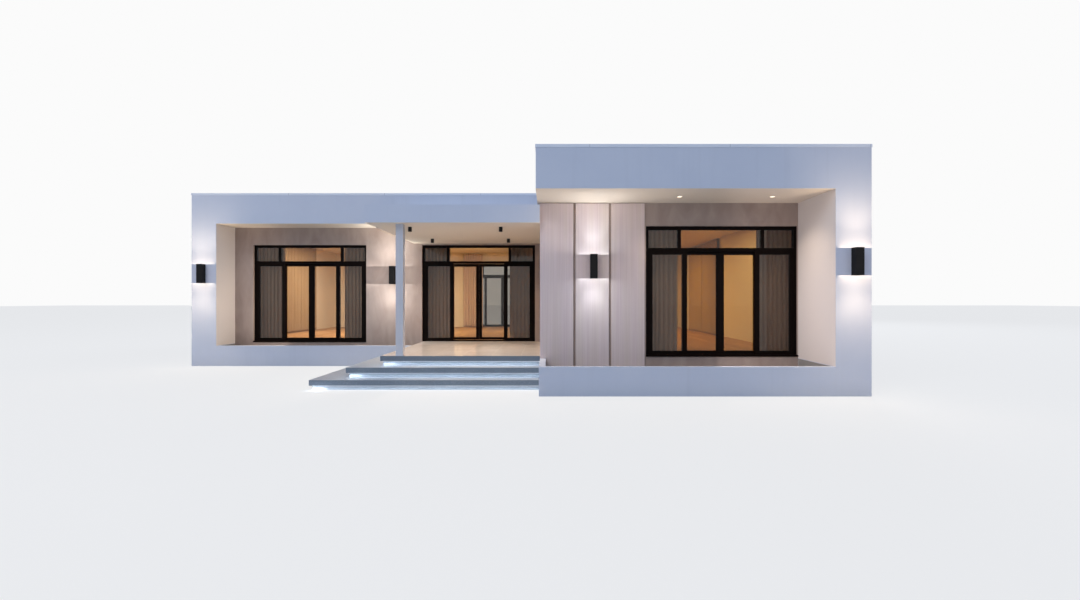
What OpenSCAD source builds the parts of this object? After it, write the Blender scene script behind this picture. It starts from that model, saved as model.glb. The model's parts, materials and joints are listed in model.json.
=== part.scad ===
// Modern bungalow: two flat-roofed volumes, a porch under a canopy, wide steps and raised planters.
// Lengths are millimetres, +Z is up and the front faces -Y.
// The origin is the middle of the outline, on the ground.
// Depths are counted back from the front of the right volume, and grid() turns them into Y.

/* [House] */
// Overall width over the side walls
house_w = 15050; // [14200:50:17000]
// Overall depth, from the front of the right volume to the rear wall
house_d = 13100; // [11600:50:15000]
// Height of the wall above the glazed units
lintel_h = 470; // [440:10:700]
// Height of the ground floor above the ground
floor_h = 575; // [480:5:660]
// Width of the right volume at its walls
right_w = 5935; // [5650:5:6400]
// Thickness of the outer walls
wall_t = 250; // [200:10:300]

/* [Front] */
// Depth of the recess in the right volume
right_recess = 1360; // [1000:10:1700]
// How far the left volume stands behind the right one
left_back = 4270; // [3600:10:4800]
// Depth of the recess in the left volume
left_recess = 820; // [600:10:1100]
// Width of the wing wall at each end of the front
wing_w = 640; // [450:10:750]
// Wall between the left wing wall and the left window
left_pier = 500; // [300:10:700]
// Wall between the door and the right volume
door_pier = 195; // [120:5:300]

/* [Roof] */
// Height of the fascia with its coping
fascia_h = 790; // [650:10:900]
// Thickness of the roof slab
roof_t = 220; // [150:10:280]
// Thickness of the fascias and parapets
parapet_t = 200; // [150:10:250]
// Height of the coping's face, with the lips that hang over the wall
coping_h = 55; // [40:5:80]
// Thickness of the coping over the wall
coping_t = 20; // [10:1:30]
// How far the coping stands out from the parapet
coping_out = 8; // [4:1:20]
// Joint between two lengths of coping
coping_joint = 3; // [2:1:6]
// How far the right roof passes its wall over the porch
right_eave = 55; // [20:5:120]

/* [Canopy] */
// Distance of the canopy's front edge behind the right volume's front
canopy_front = 1190; // [900:10:1300]
// Thickness of the canopy
canopy_t = 360; // [240:10:400]
// Clear height between the door head and the canopy
canopy_lift = 40; // [20:5:60]
// How far the canopy passes the porch floor on the left
canopy_over = 270; // [100:10:500]
// Width and depth of the column
column_w = 150; // [110:5:220]
// Distance of the column from the porch floor's left edge
column_in = 315; // [100:5:500]

/* [Steps] */
// Thickness of the step slabs and of the porch floor
step_t = 105; // [70:5:120]
// How far each slab passes the riser below it
nosing = 50; // [30:5:80]
// Depth of a tread at the front
tread = 360; // [300:10:420]
// Width of a tread at the left side
side_tread = 565; // [400:5:620]
// Distance of the porch floor's left edge from the door frame's edge
porch_in = 50; // [0:5:150]
// Width and height of the light strip under each slab
strip = 14; // [8:1:20]

/* [Planters] */
// Height of the planters
planter_h = 525; // [400:5:560]
// Thickness of the planter walls
planter_t = 120; // [90:5:160]
// Thickness of the planter base
planter_base = 100; // [60:5:150]

/* [Cladding] */
// Thickness of the panels beside the right window
panel_t = 40; // [20:5:60]
// Groove between two panels
panel_gap = 50; // [20:5:80]
// Wall between the last panel and the right window
panel_edge = 35; // [10:5:80]
// Shadow gap between the panels and the soffit
panel_top_gap = 15; // [8:1:30]

/* [Glazed units] */
// Width of a glazed unit
unit_w = 3120; // [2800:10:3350]
// Height of a glazed unit
unit_h = 2665; // [2450:5:2720]
// Distance of the frame behind the wall's outer face
unit_set = 60; // [30:5:100]
// Width of the frame at the sides
jamb_w = 60; // [45:5:80]
// Height of the frame at the top
head_h = 70; // [50:5:90]
// Height of the frame at the bottom
sill_h = 30; // [24:1:45]
// Height of the transom bar
transom_h = 60; // [45:5:80]
// Height of the top lights
top_light_h = 380; // [280:10:450]
// Distance from the unit's edge to the middle of each top light bar
top_bar_in = 700; // [550:10:850]
// Width of the top light bars
top_bar_w = 60; // [40:5:80]
// Thickness of a sash
sash_t = 42; // [36:1:50]
// Lip of the frame before and behind the sashes
lip = 6; // [4:1:10]
// Clear distance between the two sash tracks
track_gap = 10; // [6:1:16]
// Width of the sash stile at the jamb
jamb_stile = 85; // [60:5:100]
// Width of the stiles that pass each other
lock_stile = 95; // [70:5:110]
// Width of the stiles that meet in the middle
meet_stile = 77; // [60:1:90]
// Height of the sash top rail
top_rail = 70; // [50:5:90]
// Height of the sash bottom rail
bottom_rail = 60; // [50:5:90]
// Thickness of the glass units
glass_t = 20; // [12:1:26]
// How deep the glass sits in its groove
bite = 12; // [8:1:16]
// How far a window's outer sill passes the wall
sill_out = 20; // [12:1:40]
// Height of an outer sill at the frame
outer_sill_h = 22; // [16:1:28]
// Fall of an outer sill from the frame to its nose
sill_fall = 8; // [4:1:12]
// How far the sill's nose hangs below the opening
sill_drop = 14; // [8:1:30]

/* [Sliding door] */
// Half of the gap between the two leaves when closed
leaf_gap = 3; // [3:0.5:5]
// Clear height above each leaf
leaf_top_gap = 6; // [5:0.5:9]
// Clear height between the track rib and the leaf
leaf_bottom_gap = 8; // [6:0.5:10]
// Width of the track rib
rib_w = 6; // [4:1:8]
// Height of the track rib
rib_h = 6; // [4:1:8]
// Radius of the rollers
roller_r = 12; // [11:0.5:16]
// Thickness of the rollers
roller_t = 10; // [8:1:14]
// Distance of each roller from the leaf's edge
roller_in = 120; // [60:5:200]
// Width of the finger pull in the meeting stile
pull_w = 24; // [16:1:34]
// Length of the finger pull
pull_h = 220; // [120:10:300]
// Depth of the finger pull
pull_d = 9; // [5:1:12]
// Height of the finger pull's middle above the floor
pull_z = 1020; // [850:10:1150]

/* [Curtains] */
// Half of the clear width between two open curtains
curtain_half = 840; // [700:10:1000]
// Half of the gap between two closed curtains
closed_half = 4; // [3:1:10]
// How far a curtain passes the side of its window
curtain_lap = 100; // [50:5:150]
// Depth of the folds
curtain_d = 100; // [60:5:120]
// Distance of a curtain from the wall
curtain_off = 40; // [20:5:80]
// Height of the hem above the floor
curtain_lift = 15; // [10:1:40]

/* [Lights] */
// Width of a wall light
lamp_w = 145; // [100:5:180]
// Depth of a wall light
lamp_d = 150; // [100:5:180]
// Height of a wall light
lamp_h = 490; // [350:10:600]
// Height of the underside of a wall light above the ground
lamp_z = 2160; // [1900:10:2400]
// How far the lights on the wings stand outwards from the middle of their wing
wing_lamp_out = 30; // [0:5:100]
// How far the light between left window and door stands left of their middle
pier_lamp_left = 30; // [0:5:100]
// How far the light on the cladding stands right of its middle
panel_lamp_right = 25; // [0:5:100]
// Wall of a wall light's housing
lamp_wall = 8; // [4:1:12]
// Depth of the recess at each end of a wall light
lamp_recess = 45; // [20:5:80]
// Diameter of a porch spotlight
spot_dia = 80; // [60:5:110]
// Height of a porch spotlight
spot_h = 100; // [60:5:140]
// Width of the rim round a spotlight's lens
spot_rim = 8; // [4:1:14]
// Depth of the lens behind a spotlight's rim
spot_cup = 15; // [5:1:30]
// Distance of the first spotlights from the canopy's left edge
spot_x = 750; // [400:10:1000]
// Distance between the spotlights across the porch
spot_pitch_x = 1940; // [1400:10:2200]
// Distance of the first spotlights from the canopy's front edge
spot_y = 650; // [300:10:900]
// Distance between the spotlights along the porch
spot_pitch_y = 2160; // [1500:10:2300]
// Diameter of a soffit downlight
downlight_dia = 110; // [80:5:140]
// Height of a downlight's rim below the soffit
downlight_h = 6; // [4:1:12]
// Width of a downlight's rim
downlight_rim = 11; // [6:1:18]
// Depth of the lens behind a downlight's rim
downlight_cup = 3.5; // [1:0.5:3.5]
// Distance of the first downlight from the right wing wall
downlight_x = 815; // [500:5:1200]
// Distance between the downlights
downlight_pitch = 1785; // [1200:5:2200]
// Distance of the downlights from the right volume's front
downlight_y = 730; // [400:10:900]

/* [Hidden] */

// Hairline left between separate pieces that seat on each other
seat = 0.3;
// Small overshoot of a cut past the face it opens
cut = 1;
round_fn = 48;
// Risers from the ground to the porch floor, and panels in the cladding
levels = 3;
panels = 3;

white = [0.90, 0.90, 0.89];
greige = [0.72, 0.67, 0.63];
stone = [0.55, 0.60, 0.64];
dark_metal = [0.09, 0.07, 0.07];
cloth = [0.45, 0.40, 0.37];
pane = [0.55, 0.60, 0.62, 0.35];

// Middle of the outline from the front wall light to the rear sills or coping
mid_d = (house_d + max(coping_out, sill_out) - lamp_d) / 2;
head_z = floor_h + unit_h;
soffit_z = head_z + lintel_h;
house_h = soffit_z + fascia_h;
parapet_z = house_h - coping_t;
half_w = house_w / 2;

// Lines across the plan
door_wall_d = left_back + left_recess;
right_wall_d = right_recess + panel_t;
rear_d = house_d - wall_t;

// Lines along the front
left_in_x = wing_w - half_w;
right_in_x = half_w - wing_w;
left_win_x = left_in_x + left_pier + unit_w / 2;
right_x = half_w - right_w;
door_x = right_x - door_pier - unit_w / 2;
right_win_x = right_in_x - unit_w / 2;
right_roof_x = right_x - right_eave;
side_win_d = (door_wall_d + house_d) / 2;
pier_lamp_x = (left_win_x + door_x) / 2 - pier_lamp_left;
panel_end_x = right_win_x - unit_w / 2 - panel_edge;
panel_w = (panel_end_x - right_x - (panels - 1) * panel_gap) / panels;

// Porch, steps and canopy
porch_x = door_x - unit_w / 2 + porch_in;
porch_d = right_recess;
riser = floor_h / levels;
canopy_x = porch_x - canopy_over;
canopy_z = head_z + canopy_lift;
column_x = porch_x + column_in;

// Glazed unit, seen from outside, with its origin at the bottom middle of its outer face
unit_d = 2 * lip + 2 * sash_t + track_gap;
outer_track = lip;
inner_track = lip + sash_t + track_gap;
transom_top = unit_h - head_h - top_light_h;
transom_z = transom_top - transom_h;
pane_w = (unit_w / 2 - jamb_w - jamb_stile - lock_stile - meet_stile) / 2;
mid_sash_w = lock_stile + pane_w + meet_stile;
top_bar_x = unit_w / 2 - top_bar_in;
leaf_z = sill_h + rib_h + leaf_bottom_gap;
leaf_top = transom_z - leaf_top_gap;
groove_t = glass_t + 2 * seat;
side_sash_x = jamb_w - unit_w / 2;
mid_sash_x = -mid_sash_w;
top_in_x = top_bar_x - top_bar_w / 2;
top_out_x = top_bar_x + top_bar_w / 2;
fixed_z = sill_h + seat;
fixed_top = transom_z - seat;

module grid() { translate([0, -mid_d, 0]) children(); }

// A box between two corners, with depths counted from the right volume's front
module block(x0, x1, d0, d1, z0, z1) {
    grid() translate([x0, d0, z0]) cube([x1 - x0, d1 - d0, z1 - z0]);
}

module front_unit(x, wall_d) { grid() translate([x, wall_d + unit_set, floor_h]) children(); }
module rear_unit(x) { grid() translate([x, house_d - unit_set, floor_h]) rotate(180) children(); }
module left_unit() { grid() translate([unit_set - half_w, side_win_d, floor_h]) rotate(-90) children(); }
module right_unit() { grid() translate([half_w - unit_set, side_win_d, floor_h]) rotate(90) children(); }

// Both halves of a glazed unit
module halves() { children(); mirror([1, 0, 0]) children(); }

// The hole that a glazed unit needs in its wall
module unit_hole() {
    translate([-unit_w / 2, -unit_set - cut, 0]) cube([unit_w, wall_t + 2 * cut, unit_h]);
}

// Floors and walls

module ground_floor() color(stone) {
    block(wall_t - half_w, right_x + wall_t - seat, door_wall_d + wall_t, rear_d, 0, floor_h);
    block(right_x + wall_t, half_w - wall_t, right_wall_d + wall_t, rear_d, 0, floor_h);
}

module door_threshold() color(stone)
    block(door_x - unit_w / 2, door_x + unit_w / 2, door_wall_d, door_wall_d + wall_t, 0, floor_h);

module left_wing_wall() color(white)
    block(-half_w, left_in_x, left_back, door_wall_d, 0, soffit_z);

module right_wing_wall() color(white)
    block(right_in_x, half_w, 0, right_wall_d, 0, soffit_z);

module left_front_wall() color(greige) difference() {
    block(wall_t - half_w, door_x - unit_w / 2, door_wall_d, door_wall_d + wall_t, 0, soffit_z);
    front_unit(left_win_x, door_wall_d) unit_hole();
}

module door_lintel() color(greige)
    block(door_x - unit_w / 2, door_x + unit_w / 2, door_wall_d, door_wall_d + wall_t, head_z, soffit_z);

module door_side_pier() color(greige)
    block(door_x + unit_w / 2, right_x, door_wall_d, door_wall_d + wall_t, 0, soffit_z);

module porch_side_wall() color(greige)
    block(right_x, right_x + wall_t, right_wall_d + wall_t, door_wall_d + wall_t, 0, soffit_z);

module right_front_wall() color(greige) difference() {
    block(right_x, half_w - wall_t, right_wall_d, right_wall_d + wall_t, 0, soffit_z);
    front_unit(right_win_x, right_wall_d) unit_hole();
}

module left_side_wall() color(white) difference() {
    block(-half_w, wall_t - half_w, door_wall_d, rear_d, 0, soffit_z);
    left_unit() unit_hole();
}

module right_side_wall() color(white) difference() {
    block(half_w - wall_t, half_w, right_wall_d, rear_d, 0, soffit_z);
    right_unit() unit_hole();
}

module rear_wall() color(white) difference() {
    block(-half_w, half_w, rear_d, house_d, 0, soffit_z);
    for (x = [left_win_x, door_x, right_win_x]) rear_unit(x) unit_hole();
}

module cladding_panels() color(greige) for (i = [0 : panels - 1]) {
    x = right_x + i * (panel_w + panel_gap);
    block(x, x + panel_w, right_recess, right_wall_d, 0, soffit_z - panel_top_gap);
}

// Planters: a front wall, one end wall and a base, closed by the house behind

module left_planter() color(white) difference() {
    block(left_in_x, porch_x, left_back, door_wall_d, 0, planter_h);
    block(left_in_x - cut, porch_x - planter_t, left_back + planter_t, door_wall_d + cut,
          planter_base, planter_h + cut);
}

module right_planter_plan(front, left) {
    polygon([[right_x + left, front], [right_in_x, front], [right_in_x, right_wall_d],
             [panel_end_x, right_wall_d], [panel_end_x, right_recess], [right_x + left, right_recess]]);
}

module right_planter() color(white) grid() {
    linear_extrude(planter_base) right_planter_plan(0, 0);
    linear_extrude(planter_h) difference() {
        right_planter_plan(0, 0);
        right_planter_plan(planter_t, planter_t);
    }
}

// Steps: level 0 is the porch floor, levels 1 and 2 go down from it

function step_x(level) = porch_x - level * side_tread;
function step_d(level) = porch_d - level * tread;
function step_z(level) = floor_h - level * riser;

// Plan of a level in front of the planter, which wraps round the porch's left side
module step_rect(level, inset) {
    translate([step_x(level) + inset, step_d(level) + inset])
        square([right_x - step_x(level) - inset, left_back - step_d(level) - inset]);
}

// The same with the porch behind it, back to the door wall
module step_plan(level, inset) {
    step_rect(level, inset);
    translate([porch_x + inset, porch_d + inset])
        square([right_x - porch_x - inset, door_wall_d - porch_d - inset]);
}

module step_slab(level) {
    grid() translate([0, 0, step_z(level) - step_t]) linear_extrude(step_t) difference() {
        step_rect(level, 0);
        step_plan(level - 1, nosing);
    }
}

module porch_floor() color(stone)
    block(porch_x, right_x, porch_d, door_wall_d, floor_h - step_t, floor_h);

module middle_step() color(stone) step_slab(1);

module lower_step() color(stone) step_slab(2);

module step_risers() color(stone) grid() for (level = [0 : levels - 1])
    linear_extrude(step_z(level) - step_t) step_plan(level, nosing);

module step_lights() color("white") grid() for (level = [0 : levels - 1])
    translate([0, 0, step_z(level) - step_t - strip]) linear_extrude(strip) difference() {
        step_rect(level, nosing - strip);
        step_plan(level, nosing);
    }

// Canopy: a thick slab on one column, packed up to the soffit under the left eave

module porch_column() color(white)
    block(column_x, column_x + column_w, porch_d, porch_d + column_w, floor_h, canopy_z);

module canopy() color(white) {
    block(canopy_x, right_x, canopy_front, door_wall_d, canopy_z, canopy_z + canopy_t);
    block(canopy_x, right_x, left_back, door_wall_d, canopy_z, soffit_z);
}

// Roof: slabs on the walls, deep fascias at the front, parapets round the rest

module left_roof() color(white)
    block(-half_w, right_roof_x, left_back + parapet_t, house_d, soffit_z, soffit_z + roof_t);

module right_roof() color(white)
    block(right_roof_x, half_w, parapet_t, house_d, soffit_z, soffit_z + roof_t);

// Outline of each fascia and of each upstand behind them, as [x0, x1, d0, d1]
fascias = [
    [-half_w, right_roof_x, left_back, left_back + parapet_t],
    [right_roof_x, half_w, 0, parapet_t]
];
upstands = [
    [-half_w, parapet_t - half_w, left_back + parapet_t, house_d - parapet_t - seat],
    [half_w - parapet_t, half_w, parapet_t, house_d - parapet_t - seat],
    [right_roof_x, right_roof_x + parapet_t, parapet_t, left_back + parapet_t],
    [-half_w, half_w, house_d - parapet_t, house_d]
];

module roof_fascias() color(white) for (f = fascias)
    block(f[0], f[1], f[2], f[3], soffit_z, parapet_z);

module roof_parapets() color(white) for (u = upstands)
    block(u[0], u[1], u[2], u[3], soffit_z + roof_t, parapet_z);

// A length of coping: its lips hang over the walls below it, which are cut out of it
module coping(x0, x1, d0, d1) difference() {
    block(x0, x1, d0, d1, house_h - coping_h, house_h);
    for (w = concat(fascias, upstands))
        block(w[0] - seat, w[1] + seat, w[2] - seat, w[3] + seat, soffit_z, parapet_z);
}

module copings() color(white) {
    o = coping_out;
    j = coping_joint;
    in_d = left_back + parapet_t + o;
    end_d = house_d - parapet_t - o;
    coping(-half_w - o, right_roof_x - o - j, left_back - o, in_d);
    coping(right_roof_x - o, half_w + o, -o, parapet_t + o);
    coping(-half_w - o, parapet_t - half_w + o, in_d + j, end_d - j);
    coping(half_w - parapet_t - o, half_w + o, parapet_t + o + j, end_d - j);
    coping(right_roof_x - o, right_roof_x + parapet_t + o, parapet_t + o + j, in_d);
    coping(-half_w - o, half_w + o, end_d, house_d + o);
}

// Glazed units

// Groove that holds a pane between x0 and x1, z0 and z1, in the sash at depth y
module groove(x0, x1, z0, z1, y) {
    translate([x0 - bite, y + (sash_t - groove_t) / 2, z0 - bite])
        cube([x1 - x0 + 2 * bite, groove_t, z1 - z0 + 2 * bite]);
}

module pane_in(x0, x1, z0, z1, y) {
    grip = bite - seat;
    translate([x0 - grip, y + (sash_t - glass_t) / 2, z0 - grip])
        cube([x1 - x0 + 2 * grip, glass_t, z1 - z0 + 2 * grip]);
}

// A sash from x0, with its two stiles, rails and glass groove
module sash(x0, stile_a, stile_b, z0, z1, y) {
    px = x0 + stile_a;
    difference() {
        translate([x0, y, z0]) cube([stile_a + pane_w + stile_b, sash_t, z1 - z0]);
        translate([px, y - cut, z0 + bottom_rail])
            cube([pane_w, sash_t + 2 * cut, z1 - z0 - top_rail - bottom_rail]);
        groove(px, px + pane_w, z0 + bottom_rail, z1 - top_rail, y);
    }
}

module sash_pane(x0, stile_a, z0, z1, y) {
    pane_in(x0 + stile_a, x0 + stile_a + pane_w, z0 + bottom_rail, z1 - top_rail, y);
}

module window_frame() {
    difference() {
        union() {
            translate([-unit_w / 2, 0, 0]) cube([unit_w, unit_d, sill_h]);
            translate([-unit_w / 2, 0, transom_z]) cube([unit_w, unit_d, transom_h]);
            translate([-unit_w / 2, 0, unit_h - head_h]) cube([unit_w, unit_d, head_h]);
            halves() {
                translate([-unit_w / 2, 0, 0]) cube([jamb_w, unit_d, unit_h]);
                translate([-top_bar_x - top_bar_w / 2, 0, transom_top])
                    cube([top_bar_w, unit_d, top_light_h]);
                sash(side_sash_x, jamb_stile, lock_stile, sill_h, transom_z, outer_track);
                sash(mid_sash_x, lock_stile, meet_stile, sill_h, transom_z, inner_track);
            }
        }
        top_grooves();
    }
}

module top_grooves() {
    groove(-top_in_x, top_in_x, transom_top, unit_h - head_h, outer_track);
    halves() groove(jamb_w - unit_w / 2, -top_out_x, transom_top, unit_h - head_h, outer_track);
}

module top_panes() {
    pane_in(-top_in_x, top_in_x, transom_top, unit_h - head_h, outer_track);
    halves() pane_in(jamb_w - unit_w / 2, -top_out_x, transom_top, unit_h - head_h, outer_track);
}

module window_panes() {
    top_panes();
    halves() {
        sash_pane(side_sash_x, jamb_stile, sill_h, transom_z, outer_track);
        sash_pane(mid_sash_x, lock_stile, sill_h, transom_z, inner_track);
    }
}

module left_window_frame() color(dark_metal) front_unit(left_win_x, door_wall_d) window_frame();

module right_window_frame() color(dark_metal) front_unit(right_win_x, right_wall_d) window_frame();

module rear_window_frames() color(dark_metal)
    for (x = [left_win_x, door_x, right_win_x]) rear_unit(x) window_frame();

module side_window_frames() color(dark_metal) {
    left_unit() window_frame();
    right_unit() window_frame();
}

module window_glass() color(pane) {
    front_unit(left_win_x, door_wall_d) window_panes();
    front_unit(right_win_x, right_wall_d) window_panes();
    for (x = [left_win_x, door_x, right_win_x]) rear_unit(x) window_panes();
    left_unit() window_panes();
    right_unit() window_panes();
}

// Outer sill in front of the frame, with a sloping top and a nose that hangs over the wall
module outer_sill() {
    back = unit_set - seat;
    translate([seat - unit_w / 2, -unit_set, 0]) rotate([90, 0, 90])
        linear_extrude(unit_w - 2 * seat) polygon([
            [-sill_out, -sill_drop], [-seat, -sill_drop], [-seat, seat], [back, seat],
            [back, outer_sill_h], [-sill_out, outer_sill_h - sill_fall]
        ]);
}

module window_sills() color(dark_metal) {
    front_unit(left_win_x, door_wall_d) outer_sill();
    front_unit(right_win_x, right_wall_d) outer_sill();
    for (x = [left_win_x, door_x, right_win_x]) rear_unit(x) outer_sill();
    left_unit() outer_sill();
    right_unit() outer_sill();
}

// Entrance: fixed side sashes in the outer track, two sliding leaves in the inner track

module door_frame() color(dark_metal) front_unit(door_x, door_wall_d) {
    translate([-unit_w / 2, 0, 0]) cube([unit_w, unit_d, sill_h]);
    translate([side_sash_x + seat, inner_track + (sash_t - rib_w) / 2, 0])
        cube([-2 * (side_sash_x + seat), rib_w, sill_h + rib_h]);
    difference() {
        translate([-unit_w / 2, 0, transom_z]) cube([unit_w, unit_d, unit_h - transom_z]);
        translate([-top_in_x, -cut, transom_top]) cube([2 * top_in_x, unit_d + 2 * cut, top_light_h]);
        halves() translate([jamb_w - unit_w / 2, -cut, transom_top])
            cube([unit_w / 2 - jamb_w - top_out_x, unit_d + 2 * cut, top_light_h]);
        top_grooves();
    }
    halves() {
        translate([-unit_w / 2, 0, fixed_z]) cube([jamb_w, unit_d, fixed_top - fixed_z]);
        sash(side_sash_x + seat, jamb_stile, lock_stile, fixed_z, fixed_top, outer_track);
    }
}

module door_glass() color(pane) front_unit(door_x, door_wall_d) {
    top_panes();
    halves() sash_pane(side_sash_x + seat, jamb_stile, fixed_z, fixed_top, outer_track);
}

// A roller of the left leaf, which turns on the rib of the track
module roller(x) {
    z = sill_h + rib_h + seat + roller_r;
    translate([x, inner_track + (sash_t - roller_t) / 2, z]) rotate([-90, 0, 0])
        cylinder(r = roller_r, h = roller_t, $fn = round_fn);
}

// The left leaf: a sash short of the middle by leaf_gap, with pulls, on two rollers
module leaf() {
    difference() {
        translate([mid_sash_x, inner_track, leaf_z]) cube([mid_sash_w - leaf_gap, sash_t, leaf_top - leaf_z]);
        translate([mid_sash_x + lock_stile, inner_track - cut, leaf_z + bottom_rail])
            cube([pane_w, sash_t + 2 * cut, leaf_top - leaf_z - top_rail - bottom_rail]);
        groove(mid_sash_x + lock_stile, mid_sash_x + lock_stile + pane_w,
               leaf_z + bottom_rail, leaf_top - top_rail, inner_track);
        for (y = [inner_track - cut, inner_track + sash_t - pull_d])
            translate([-(meet_stile + leaf_gap + pull_w) / 2, y, pull_z - pull_h / 2])
                cube([pull_w, pull_d + cut, pull_h]);
    }
    roller(mid_sash_x + roller_in);
    roller(-leaf_gap - roller_in);
}

module leaf_pane() { sash_pane(mid_sash_x, lock_stile, leaf_z, leaf_top, inner_track); }

module left_door_leaf() color(dark_metal) front_unit(door_x, door_wall_d) leaf();

module left_leaf_glass() color(pane) front_unit(door_x, door_wall_d) leaf_pane();

module right_door_leaf() color(dark_metal) front_unit(door_x, door_wall_d) mirror([1, 0, 0]) leaf();

module right_leaf_glass() color(pane) front_unit(door_x, door_wall_d) mirror([1, 0, 0]) leaf_pane();

// Curtains: a pair inside each unit, hung from the ceiling, open at the front and rear

module curtain_pair(half) {
    halves() translate([-unit_w / 2 - curtain_lap, wall_t - unit_set + curtain_off, curtain_lift])
        cube([unit_w / 2 + curtain_lap - half, curtain_d, soffit_z - floor_h - curtain_lift - seat]);
}

module front_curtains() color(cloth) {
    for (x = [left_win_x, door_x]) front_unit(x, door_wall_d) curtain_pair(curtain_half);
    front_unit(right_win_x, right_wall_d) curtain_pair(curtain_half);
}

module rear_curtains() color(cloth)
    for (x = [left_win_x, door_x, right_win_x]) rear_unit(x) curtain_pair(curtain_half);

module side_curtains() color(cloth) {
    left_unit() curtain_pair(closed_half);
    right_unit() curtain_pair(closed_half);
}

// Lights

// A box light on a wall face, open above and below
module wall_light(x, face_d) {
    inner_w = lamp_w - 2 * lamp_wall;
    inner_d = lamp_d - 2 * lamp_wall;
    grid() translate([x - lamp_w / 2, face_d - lamp_d, lamp_z]) difference() {
        cube([lamp_w, lamp_d, lamp_h]);
        for (z = [-cut, lamp_h - lamp_recess])
            translate([lamp_wall, lamp_wall, z]) cube([inner_w, inner_d, lamp_recess + cut]);
    }
}

module wall_lights() color(dark_metal) {
    wall_light(left_in_x - wing_w / 2 - wing_lamp_out, left_back);
    wall_light(pier_lamp_x, door_wall_d);
    wall_light((right_x + panel_end_x) / 2 + panel_lamp_right, right_recess);
    wall_light(right_in_x + wing_w / 2 + wing_lamp_out, 0);
}

module porch_spotlights() color(dark_metal) grid()
    for (x = [0, spot_pitch_x], d = [0, spot_pitch_y])
        translate([canopy_x + spot_x + x, canopy_front + spot_y + d, canopy_z - spot_h]) difference() {
            cylinder(d = spot_dia, h = spot_h, $fn = round_fn);
            translate([0, 0, -cut])
                cylinder(d = spot_dia - 2 * spot_rim, h = spot_cup + cut, $fn = round_fn);
        }

module soffit_downlights() color(white) grid() for (x = [0, downlight_pitch])
    translate([right_in_x - downlight_x - x, downlight_y, soffit_z - downlight_h]) difference() {
        cylinder(d = downlight_dia, h = downlight_h, $fn = round_fn);
        translate([0, 0, -cut])
            cylinder(d = downlight_dia - 2 * downlight_rim, h = downlight_cup + cut, $fn = round_fn);
    }

ground_floor();
door_threshold();
left_wing_wall();
right_wing_wall();
left_front_wall();
door_lintel();
door_side_pier();
porch_side_wall();
right_front_wall();
left_side_wall();
right_side_wall();
rear_wall();
cladding_panels();
left_planter();
right_planter();
porch_floor();
middle_step();
lower_step();
step_risers();
step_lights();
porch_column();
canopy();
left_roof();
right_roof();
roof_fascias();
roof_parapets();
copings();
left_window_frame();
right_window_frame();
rear_window_frames();
side_window_frames();
window_sills();
window_glass();
door_frame();
door_glass();
left_door_leaf();
left_leaf_glass();
right_door_leaf();
right_leaf_glass();
front_curtains();
rear_curtains();
side_curtains();
wall_lights();
porch_spotlights();
soffit_downlights();
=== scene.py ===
"""A single-storey house in two flat-roofed volumes: its finishes, curtains, lights and studio."""

import json
import math

import bmesh
import bpy
from mathutils import Matrix, Vector


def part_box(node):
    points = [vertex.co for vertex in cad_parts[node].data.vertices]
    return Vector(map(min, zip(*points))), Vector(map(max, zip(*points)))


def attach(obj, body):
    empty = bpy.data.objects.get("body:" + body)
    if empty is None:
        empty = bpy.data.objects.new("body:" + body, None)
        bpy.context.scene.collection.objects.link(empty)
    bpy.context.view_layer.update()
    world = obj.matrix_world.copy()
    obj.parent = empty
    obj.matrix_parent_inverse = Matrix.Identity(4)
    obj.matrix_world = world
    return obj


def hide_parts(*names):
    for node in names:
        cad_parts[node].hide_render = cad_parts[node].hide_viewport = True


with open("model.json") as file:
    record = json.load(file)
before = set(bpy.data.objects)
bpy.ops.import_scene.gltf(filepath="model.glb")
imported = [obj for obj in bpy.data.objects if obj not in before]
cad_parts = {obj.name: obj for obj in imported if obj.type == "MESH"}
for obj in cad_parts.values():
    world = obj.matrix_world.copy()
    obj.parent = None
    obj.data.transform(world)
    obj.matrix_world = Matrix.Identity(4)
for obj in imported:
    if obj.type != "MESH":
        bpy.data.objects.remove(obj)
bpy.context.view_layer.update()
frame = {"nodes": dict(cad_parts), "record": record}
scene = bpy.context.scene
scene.view_settings.view_transform = "Standard"

# Camera
# It stands level at eye height before the entrance. Its focal length, and the column where lines that
# run straight into the house meet, are in pixels of a frame that is 1080 wide.
frame_px = 1080
focal_px = 520
meeting_px = 548
sensor_mm = 36.0
eye = Vector((1.755, -15.755, 1.72))


def stand(name, data):
    """Puts an object of this data into the scene, at the origin."""
    piece = bpy.data.objects.new(name, data)
    scene.collection.objects.link(piece)
    return piece


camera = stand("camera", bpy.data.cameras.new("camera"))
camera.data.sensor_width = sensor_mm
camera.data.lens = sensor_mm * focal_px / frame_px
camera.data.shift_x = (frame_px / 2 - meeting_px) / frame_px
camera.location = eye
camera.rotation_euler = (math.radians(90), 0, 0)
scene.camera = camera

# Ground floor
# A concrete slab under engineered oak boards, 190 mm wide and 1.9 m long, brushed and oiled.
# The eye sees warm planks that differ in tone, fine dark joints and long grain with a soft gloss.


def linear(code):
    """The linear colour of an sRGB hex value."""
    parts = [int(code[i:i + 2], 16) / 255 for i in (1, 3, 5)]
    return [c / 12.92 if c <= 0.04045 else ((c + 0.055) / 1.055) ** 2.4 for c in parts] + [1.0]


def link(tree, node, inputs):
    """Sets a node's inputs: a node or socket is linked, a hex value is a colour, the rest are values."""
    for key, value in inputs.items():
        if isinstance(key, str):
            socket = next(s for s in node.inputs if s.name == key and s.enabled)
        else:
            socket = node.inputs[key]
        if isinstance(value, bpy.types.Node):
            value = next(s for s in value.outputs if s.enabled)
        if isinstance(value, bpy.types.NodeSocket):
            tree.links.new(value, socket)
        else:
            socket.default_value = linear(value) if isinstance(value, str) else value


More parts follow.
